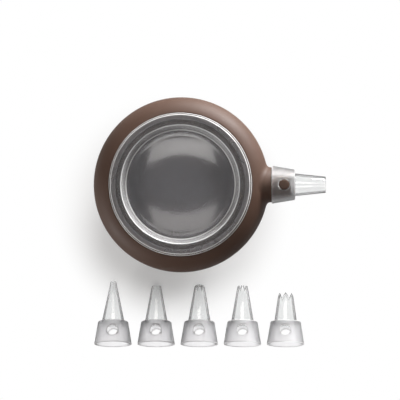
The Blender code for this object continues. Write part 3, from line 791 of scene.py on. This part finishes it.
fitted_collar = collar_copy("collar_on_neck", along_neck)
collar_pieces.append(stands_for(fitted_collar, "fitted_collar", "nozzle"))
for number, (kind, spare_tip) in enumerate(spare_tips.items(), start=1):
    low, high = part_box(f"spare_collar_{number}")
    base = Vector((
        (low.x + high.x) / 2,
        low.y + collar_base_radius * math.sin(lying_angle),
        collar_base_radius * math.cos(lying_angle),
    ))
    lying = Matrix.Rotation(-QUARTER_TURN - lying_angle, 4, "X")
    place = Matrix.Translation(base) @ lying @ Matrix.Rotation(QUARTER_TURN, 4, "Z")
    collar = collar_copy(f"collar_spare_{number}", place)
    body = f"spare_{number}"
    collar_pieces.append(stands_for(collar, f"spare_collar_{number}", body))
    tip_node = f"spare_tip_{number}_{kind}"
    tip_pieces.append(stands_for(lay(spare_tip, place), tip_node, body))
bpy.data.objects.remove(collar_model, do_unlink=True)

# %% [markdown]
# Finishes. Moulded parts have a very fine grain from the mould and faint marks from hands, and more than
# one material uses both. So each is a node group that puts out a value, and the material decides what the
# value changes. The patterns read Object coordinates, so they stay put on the pieces in every view.

# %% A node group for the grain of a moulded surface
def group_with(name, output, **inputs):
    """A new shader node group with one float output, and float inputs with their values."""
    group = bpy.data.node_groups.new(name, "ShaderNodeTree")
    for label, value in inputs.items():
        socket = group.interface.new_socket(label, in_out="INPUT", socket_type="NodeSocketFloat")
        socket.default_value = value
    group.interface.new_socket(output, in_out="OUTPUT", socket_type="NodeSocketFloat")
    return group, group.nodes.new("NodeGroupInput"), group.nodes.new("NodeGroupOutput")


def node(tree, kind, settings=None, **values):
    """Adds a shader node of a kind, with its settings as attributes and its input values by name."""
    made = tree.nodes.new("ShaderNode" + kind)
    for label, value in (settings or {}).items():
        setattr(made, label, value)
    for label, value in values.items():
        made.inputs[label.replace("_", " ")].default_value = value
    return made


def calculate(tree, operation, second=None, clamp=False):
    """Adds a Math node, with a value in its second socket if one is given."""
    made = node(tree, "Math", {"operation": operation, "use_clamp": clamp})
    if second is not None:
        made.inputs[1].default_value = second
    return made


def join(tree, *links):
    """Links sockets. Each link is (node, output, node, input), with sockets by name or number."""
    for source, output, target, socket in links:
        tree.links.new(source.outputs[output], target.inputs[socket])


CELL_SHARE = 0.5
grain_group, grain_in, grain_out = group_with("moulded_grain", "Height", Scale=2500.0)
grain_place = node(grain_group, "TexCoord")
grain_noise = node(grain_group, "TexNoise", Detail=3.0, Roughness=0.6)
grain_cells = node(grain_group, "TexVoronoi", {"feature": "SMOOTH_F1"})
grain_sum = calculate(grain_group, "MULTIPLY_ADD", CELL_SHARE)
for texture in (grain_noise, grain_cells):
    join(grain_group, (grain_place, "Object", texture, "Vector"), (grain_in, "Scale", texture, "Scale"))
join(grain_group, (grain_cells, "Distance", grain_sum, 0), (grain_noise, "Fac", grain_sum, 2))
join(grain_group, (grain_sum, "Value", grain_out, "Height"))
print("group:", grain_group.name)

# %% A node group for faint marks from handling
NOISE_MIDDLE = 0.5
marks_group, marks_in, marks_out = group_with("handling_marks", "Mask", Scale=30.0, Spread=0.2)
marks_place = node(marks_group, "TexCoord")
marks_noise = node(marks_group, "TexNoise", Detail=6.0, Roughness=0.55, Distortion=0.6)
marks_low = calculate(marks_group, "SUBTRACT")
marks_high = calculate(marks_group, "ADD")
marks_range = node(marks_group, "MapRange", {"interpolation_type": "SMOOTHSTEP"})
join(marks_group, (marks_place, "Object", marks_noise, "Vector"), (marks_in, "Scale", marks_noise, "Scale"))
for edge, side in ((marks_low, "From Min"), (marks_high, "From Max")):
    edge.inputs[0].default_value = NOISE_MIDDLE
    join(marks_group, (marks_in, "Spread", edge, 1), (edge, "Value", marks_range, side))
join(marks_group, (marks_noise, "Fac", marks_range, "Value"), (marks_range, "Result", marks_out, "Mask"))
print("group:", marks_group.name)

# %% Helpers that start a material, add both effects and give it to pieces
def start_material(name, **plain):
    """A material with its Principled shader, whose plain values are set by name."""
    made = bpy.data.materials.new(name)
    made.use_nodes = True
    shader = made.node_tree.nodes["Principled BSDF"]
    for label, value in plain.items():
        shader.inputs[label.replace("_", " ")].default_value = value
    return made, made.node_tree, shader


def add_finish(tree, shader, grain_scale, grain_depth, marks_scale, smooth, rough):
    """Grain as a bump, and marks that vary the roughness from smooth to rough. Returns the marks' node."""
    grain = node(tree, "Group", {"node_tree": grain_group}, Scale=grain_scale)
    bump = node(tree, "Bump", Strength=1.0, Distance=grain_depth)
    marks = node(tree, "Group", {"node_tree": marks_group}, Scale=marks_scale)
    roughness = node(tree, "MapRange", To_Min=smooth, To_Max=rough)
    join(tree, (grain, "Height", bump, "Height"), (bump, "Normal", shader, "Normal"))
    join(tree, (marks, "Mask", roughness, "Value"), (roughness, "Result", shader, "Roughness"))
    return marks


def give(material, *pieces):
    """Gives one material to pieces, as their only one."""
    for piece in pieces:
        piece.data.materials.clear()
        piece.data.materials.append(material)
    print(f"{material.name} on", ", ".join(piece.name for piece in pieces))


# %% [markdown]
# The silicone is a deep brown with a dry, velvety face. Its colour and roughness waver a little, a trace
# lighter and rougher where hands have dulled it. The grain is far finer than a pixel of the main view and
# shows only from close by.

# %% Brown silicone
DEEP_BROWN = (0.073, 0.0385, 0.0255, 1)
DULLED_BROWN = (0.080, 0.0435, 0.030, 1)
# Grain per metre and its depth in metres, hand marks per metre, and the least and the most roughness
SILICONE_FINISH = (2600.0, 0.00002, 42.0, 0.57, 0.63)


def two_colours(tree, shader, first, second, mask, output):
    """A base colour that goes from the first to the second colour with one output of a node."""
    tint = node(tree, "Mix", {"data_type": "RGBA"}, A=first, B=second)
    join(tree, (mask, output, tint, "Factor"), (tint, "Result", shader, "Base Color"))


silicone, tree, shader = start_material("brown_silicone", IOR=1.42)
marks = add_finish(tree, shader, *SILICONE_FINISH)
two_colours(tree, shader, DEEP_BROWN, DULLED_BROWN, marks, "Mask")
give(silicone, bulb, *buttons.values())

# %% [markdown]
# The lid and the mouth ring are clear plastic with a slight haze, and faint hand marks make it a little
# rougher in places. Three areas differ. The recess's floor has a satin face, so it mirrors the lamps as
# blurred crescents. The recess's wall is seen nearly edge on, through much more plastic, so its haze is
# strong. The thin outer edges of lid and ring and the two corners of the wall are milkier still: a painted
# highlight, which draws the light circles that these edges catch. Each area is a further material on the
# same piece.

# %% Clear plastic
# Each plastic has its colour, the share of light let through, its IOR and a finish like that of the silicone
CLEAR = ((0.93, 0.92, 0.93, 1), 0.94, 1.5, 900.0, 0.000001, 60.0, 0.02, 0.05)


def plastic(name, colour, through, ior, *finish):
    """A plastic, or a silicone, that lets light through."""
    made, tree, shader = start_material(name, Base_Color=colour, Transmission_Weight=through, IOR=ior)
    add_finish(tree, shader, *finish)
    return made


give(plastic("clear_plastic", *CLEAR), mouth_ring, lid)

# %% A helper that gives one area of a piece a further material
def give_area(material, piece, radii, heights=(0.0, math.inf)):
    """Gives a further material to faces of a piece whose middle lies between two radii and two heights."""
    slot = piece.data.materials.find(material.name)
    if slot < 0:
        slot = len(piece.data.materials)
        piece.data.materials.append(material)
    only(piece)
    edit_mode("FACE", "DESELECT")
    edit = bmesh.from_edit_mesh(piece.data)
    for face in edit.faces:
        middle = face.calc_center_median()
        inside = radii[0] <= math.hypot(middle.x, middle.y) < radii[1]
        face.select_set(inside and heights[0] < middle.z < heights[1])
    bmesh.update_edit_mesh(piece.data)
    piece.active_material_index = slot
    bpy.ops.object.material_slot_assign()
    object_mode()
    used = sum(face.material_index == slot for face in piece.data.polygons)
    print(f"{material.name} on {piece.name}: {used} faces")


# %% Satin floor and milky wall of the recess
SATIN = ((0.80, 0.81, 0.86, 1), 0.9, 1.6, 1800.0, 0.0000003, 35.0, 0.14, 0.18)
MILKY = ((0.90, 0.89, 0.89, 1), 0.76, 1.5, 1800.0, 0.0000015, 35.0, 0.16, 0.22)
give_area(plastic("satin_floor", *SATIN), lid, (0.0, recess_bottom))
give_area(plastic("milky_wall", *MILKY), lid, (recess_bottom, recess_top))

# %% Painted highlights on the edges of the flange, the recess and the mouth ring
# The paler plastic on these edges is a painted highlight, for the bright lines that light draws along them
PALE_HIGHLIGHT = ((0.92, 0.915, 0.91, 1), 0.35, 1.5, 1800.0, 0.0000015, 35.0, 0.2, 0.26)
HIGHLIGHT_LINE = 0.0012
# Each painted highlight has a piece, two radii and two heights
EDGES = (
    (lid, (flange_radius - HIGHLIGHT_LINE, math.inf), (lid_top - FLANGE_ROUNDING, math.inf)),
    (
        lid,
        (recess_top - RECESS_ROUNDING, recess_top + RECESS_ROUNDING / 2),
        (lid_top - RECESS_ROUNDING / 2, math.inf),
    ),
    (
        lid,
        (recess_bottom - RECESS_ROUNDING, recess_bottom + RECESS_ROUNDING),
        (recess_floor - RECESS_ROUNDING, recess_floor + RECESS_ROUNDING),
    ),
    (mouth_ring, (rim_radius - HIGHLIGHT_LINE, math.inf), (ring_top - RIM_ROUNDING, math.inf)),
)
highlight_plastic = plastic("pale_edge_highlight", *PALE_HIGHLIGHT)
for highlight_area in EDGES:
    give_area(highlight_plastic, *highlight_area)

# %% [markdown]
# Tips are of clear plastic. Where its face is seen edge on, light is bent far aside and mostly lost, so the
# sides of a tip are drawn as grey lines. Real rooms have dark walls for that light to end on, and this
# white stage has none, so Layer Weight darkens the base colour there as painted shade. An even absorption
# inside dims the rest a little.

# %% Tip plastic
GLASSY = ((0.98, 0.985, 0.985, 1), 0.97, 1.49, 900.0, 0.0000001, 60.0, 0.03, 0.05)
BODY_GREY = (0.5, 0.5, 0.5, 1)
# Absorption per metre, the colour of the painted shade edge on, and the Facing values of Layer Weight
# where it starts and is full
TIP_ABSORPTION_AND_EDGE_SHADE = (40.0, (0.04, 0.04, 0.044, 1), 0.34, 0.68)


def shade_edges_and_absorb(material, density, painted_edge_shade, edge_start, edge_end):
    """Even absorption inside a piece, and painted shade: a darker base colour where its face is seen edge on.
    """
    tree = material.node_tree
    shader, output = tree.nodes["Principled BSDF"], tree.nodes["Material Output"]
    inside = node(tree, "VolumeAbsorption", Color=BODY_GREY, Density=density)
    weight = node(tree, "LayerWeight", Blend=0.5)
    smooth = {"interpolation_type": "SMOOTHSTEP"}
    edge = node(tree, "MapRange", smooth, From_Min=edge_start, From_Max=edge_end)
    join(tree, (inside, "Volume", output, "Volume"), (weight, "Facing", edge, "Value"))
    two_colours(tree, shader, shader.inputs["Base Color"].default_value, painted_edge_shade, edge, "Result")


tip_plastic = plastic("tip_plastic", *GLASSY)
shade_edges_and_absorb(tip_plastic, *TIP_ABSORPTION_AND_EDGE_SHADE)
give(tip_plastic, *tip_pieces)

# %% [markdown]
# Collars are frosted: light gets through their rough faces, but no clear picture does, so the brown neck
# darkens the fitted one from within. Their sides turn grey more gently than those of the tips, as the same
# painted shade. The rims that were marked on the mesh are milkier, a painted highlight that draws pale lines
# round the collar's ends and its lock holes.
# The gasket is of a grey silicone that lets some light through.

# %% Frosted plastic, and milky rims as a painted highlight
FROSTED = ((0.985, 0.98, 0.99, 1), 0.975, 1.49, 2200.0, 0.000004, 50.0, 0.42, 0.47)
# The rims' milkier plastic is a painted highlight for the pale lines that light draws on them
FROSTED_RIM_HIGHLIGHT = ((0.80, 0.785, 0.79, 1), 0.6, 1.49, 2200.0, 0.000004, 50.0, 0.42, 0.47)
# Layer Weight greys the collars' sides as painted shade, more gently than on the tips
COLLAR_ABSORPTION_AND_EDGE_SHADE = (20.0, (0.3, 0.3, 0.31, 1), 0.2, 0.9)
frosted = plastic("frosted_plastic", *FROSTED)
shade_edges_and_absorb(frosted, *COLLAR_ABSORPTION_AND_EDGE_SHADE)
give(frosted, *collar_pieces)
rim_highlight_plastic = plastic("collar_rim_highlight", *FROSTED_RIM_HIGHLIGHT)
for collar in collar_pieces:
    collar.data.materials.append(rim_highlight_plastic)
    at_rim_highlight = [mark.value for mark in collar.data.attributes["rim"].data]
    for face in collar.data.polygons:
        face.material_index = int(at_rim_highlight[face.index])
    print(collar.name, "has", sum(at_rim_highlight), "faces in its rims")

# %% Gasket silicone
SOFT_GREY = ((0.24, 0.21, 0.21, 1), 0.75, 1.41, 2000.0, 0.00001, 40.0, 0.25, 0.35)
give(plastic("gasket_silicone", *SOFT_GREY), gasket)

# %% [markdown]
# The stage is a plain white floor. Where the bulb's shadow falls it is a matte surface that takes the
# shadow, and a weak even glow keeps that shadow as light as it is in the picture. Around the shadow the
# floor soon turns to a full white for the camera and for clear plastic, so that it looks white to its edge
# at low angles too. Gloss gets very little of that white, so the dark side of the silicone stays dark.

# %% Floor
FLOOR_RADIUS = 6.0
FLOOR_SEGMENTS = 128
SHADOW_MIDDLE = (-0.0085, -0.018, 0.0)
GLOW_FROM, GLOW_TO = 0.05, 0.087
SHADOW_LIFT = 0.3
MIRROR_SHARE = 0.05
WHITE = (1, 1, 1, 1)
MATTE_GREY = (0.62, 0.62, 0.62, 1)
disc = {"vertices": FLOOR_SEGMENTS, "radius": FLOOR_RADIUS, "fill_type": "NGON"}
floor = added("floor", bpy.ops.mesh.primitive_circle_add, **disc)
matte = {"Base_Color": MATTE_GREY, "Roughness": 0.9, "Specular_IOR_Level": 0.0}
floor_paint, tree, shader = start_material("white_floor", **matte)
glow = node(tree, "Emission", Color=WHITE, Strength=1.0)
lifting = node(tree, "Emission", Color=WHITE)
near = node(tree, "AddShader")
mix = node(tree, "MixShader")
place = node(tree, "TexCoord")
distance = node(tree, "VectorMath", {"operation": "DISTANCE"})
distance.inputs[1].default_value = SHADOW_MIDDLE
smooth = {"interpolation_type": "SMOOTHSTEP"}
ring = node(tree, "MapRange", smooth, From_Min=GLOW_FROM, From_Max=GLOW_TO)
path = node(tree, "LightPath")
direct = calculate(tree, "ADD", clamp=True)
seen = calculate(tree, "MULTIPLY_ADD", MIRROR_SHARE, clamp=True)
share = calculate(tree, "MULTIPLY")
lift = calculate(tree, "MULTIPLY", SHADOW_LIFT)
join(
    tree,
    (place, "Object", distance, 0),
    (distance, "Value", ring, "Value"),
    (path, "Is Camera Ray", direct, 0),
    (path, "Is Transmission Ray", direct, 1),
    (path, "Is Glossy Ray", seen, 0),
    (direct, "Value", seen, 2),
    (seen, "Value", share, 0),
    (ring, "Result", share, 1),
    (share, "Value", mix, "Fac"),
    (seen, "Value", lift, 0),
    (lift, "Value", lifting, "Strength"),
    (shader, "BSDF", near, 0),
    (lifting, "Emission", near, 1),
    (near, "Shader", mix, 1),
    (glow, "Emission", mix, 2),
    (mix, "Shader", tree.nodes["Material Output"], "Surface"),
)
give(floor_paint, floor)

# %% [markdown]
# The light is a small product studio. The key is a large soft lamp at the back right, little higher than
# the bulb. It lights the steep shoulder much more than level faces, and casts the short soft shadow at the
# front left. Two narrower lamps over the back and the front show as two crescents in the lid's floor. A
# weak, low one at the front left lifts the dark side.

# %% Lamps
# Each row has azimuth and elevation in degrees, distance and size in metres, watts and colour
LAMPS = {
    "key_back_right": (60, 7, 1.5, (0.8, 0.34), 67.0, (1.0, 1.0, 1.0)),
    "overhead_back": (92, 67, 1.1, (0.8, 0.36), 3.0, (1.0, 0.97, 0.93)),
    "overhead_front": (270, 69, 1.1, (0.8, 0.4), 2.3, (1.0, 0.96, 0.92)),
    "fill_front_left": (213, 8, 1.2, (0.3, 0.2), 7.5, (1.0, 1.0, 1.0)),
}
for name, (azimuth, elevation, distance, size, watts, colour) in LAMPS.items():
    lamp = bpy.data.lights.new(name, "AREA")
    lamp.shape = "RECTANGLE"
    lamp.size, lamp.size_y = size
    lamp.energy = watts
    lamp.color = colour
    holder = bpy.data.objects.new(name, lamp)
    holder.visible_camera = False
    bpy.context.scene.collection.objects.link(holder)
    turn = Matrix.Rotation(math.radians(azimuth), 4, "Z") @ Matrix.Rotation(-math.radians(elevation), 4, "Y")
    direction = turn @ Vector((1, 0, 0))
    holder.location = direction * distance + Vector((0, 0, neck_height))
    holder.rotation_euler = direction.to_track_quat("Z", "Y").to_euler()
    print(f"{name}: {watts} W at {azimuth}, {elevation} degrees")

# %% [markdown]
# The world is a dim grey for light and for gloss, so that the lamps shape the object. What the camera sees
# beyond the floor is white, like a studio's walls, and clear plastic shows a part of that.

# %% World
WORLD_LIGHT = 0.05
THROUGH_SHARE = 0.3
world = bpy.data.worlds.new("studio")
bpy.context.scene.world = world
world.use_nodes = True
tree = world.node_tree
background = tree.nodes["Background"]
background.inputs["Color"].default_value = WHITE
path = node(tree, "LightPath")
shown = calculate(tree, "MULTIPLY_ADD", THROUGH_SHARE, clamp=True)
strength = node(tree, "MapRange", To_Min=WORLD_LIGHT)
join(tree, (path, "Is Transmission Ray", shown, 0), (path, "Is Camera Ray", shown, 2))
join(tree, (shown, "Value", strength, "Value"), (strength, "Result", background, "Strength"))
print("world light:", WORLD_LIGHT)

# %% [markdown]
# The camera looks down through a very long lens, so that the view is almost free of perspective, as in the
# picture. It leans two degrees, because the lid's circles lie a little off the bulb's outline there. Its
# place follows from where the bulb's axis lies in the picture, and from how many metres a pixel spans at
# the bulb's widest ring.

# %% Camera and view settings
IMAGE_PIXELS = 400
METRES_PER_PIXEL = 0.000708
BULB_PIXEL_X, BULB_PIXEL_Y = 181.2, 184.8
LENS_MM = 600.0
SENSOR_MM = 36.0
CAMERA_LEAN = math.radians(2.2)
CAMERA_LEAN_TOWARDS = math.radians(-24)
camera_data = bpy.data.cameras.new("camera")
camera_data.lens = LENS_MM
camera_data.sensor_width = SENSOR_MM
camera_data.clip_end = 10 * FLOOR_RADIUS
camera = bpy.data.objects.new("camera", camera_data)
bpy.context.scene.collection.objects.link(camera)
across = (IMAGE_PIXELS / 2 - BULB_PIXEL_X) * METRES_PER_PIXEL
along = (IMAGE_PIXELS / 2 - BULB_PIXEL_Y) * METRES_PER_PIXEL
target = Vector((across, -along, neck_height))
lean_axis = Vector((-math.sin(CAMERA_LEAN_TOWARDS), math.cos(CAMERA_LEAN_TOWARDS), 0))
lean = Matrix.Rotation(CAMERA_LEAN, 4, lean_axis)
camera_distance = IMAGE_PIXELS * METRES_PER_PIXEL * LENS_MM / SENSOR_MM
camera.matrix_world = Matrix.Translation(target) @ lean @ Matrix.Translation((0, 0, camera_distance))
bpy.context.scene.camera = camera
bpy.context.scene.view_settings.view_transform = "Standard"
print("camera:", [round(value, 3) for value in camera.location])
